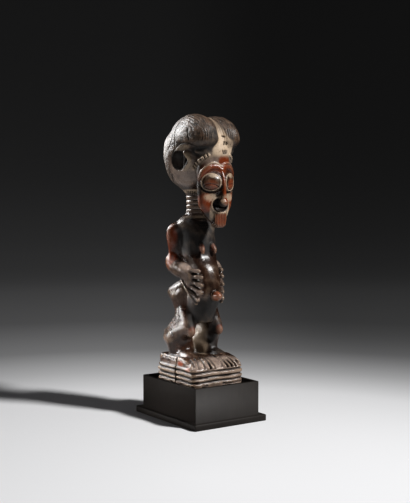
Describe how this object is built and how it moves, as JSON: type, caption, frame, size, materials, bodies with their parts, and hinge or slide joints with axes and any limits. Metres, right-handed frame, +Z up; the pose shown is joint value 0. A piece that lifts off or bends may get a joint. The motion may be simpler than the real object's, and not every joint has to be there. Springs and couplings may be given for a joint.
{
  "type": "carved wooden spirit spouse figure on stand",
  "caption": "Carved wooden standing figure with domed lobed hair, masklike face, ringed neck and hands on the belly, on a banded base let into a low dark stand.",
  "frame": {"origin": "centre of the underside of the stand", "axes": "+Z up through the figure, -Y the way the figure faces, -X its right-hand side"},
  "size_m": [0.118, 0.152, 0.421],
  "materials": {
    "carved_wood": "dark glossy patina with red-brown and pale worn areas",
    "stand_wood": "black stain, satin"
  },
  "bodies": {
    "root": {"carved_figure": "carved_wood", "display_stand": "stand_wood"}
  },
  "joints": []
}
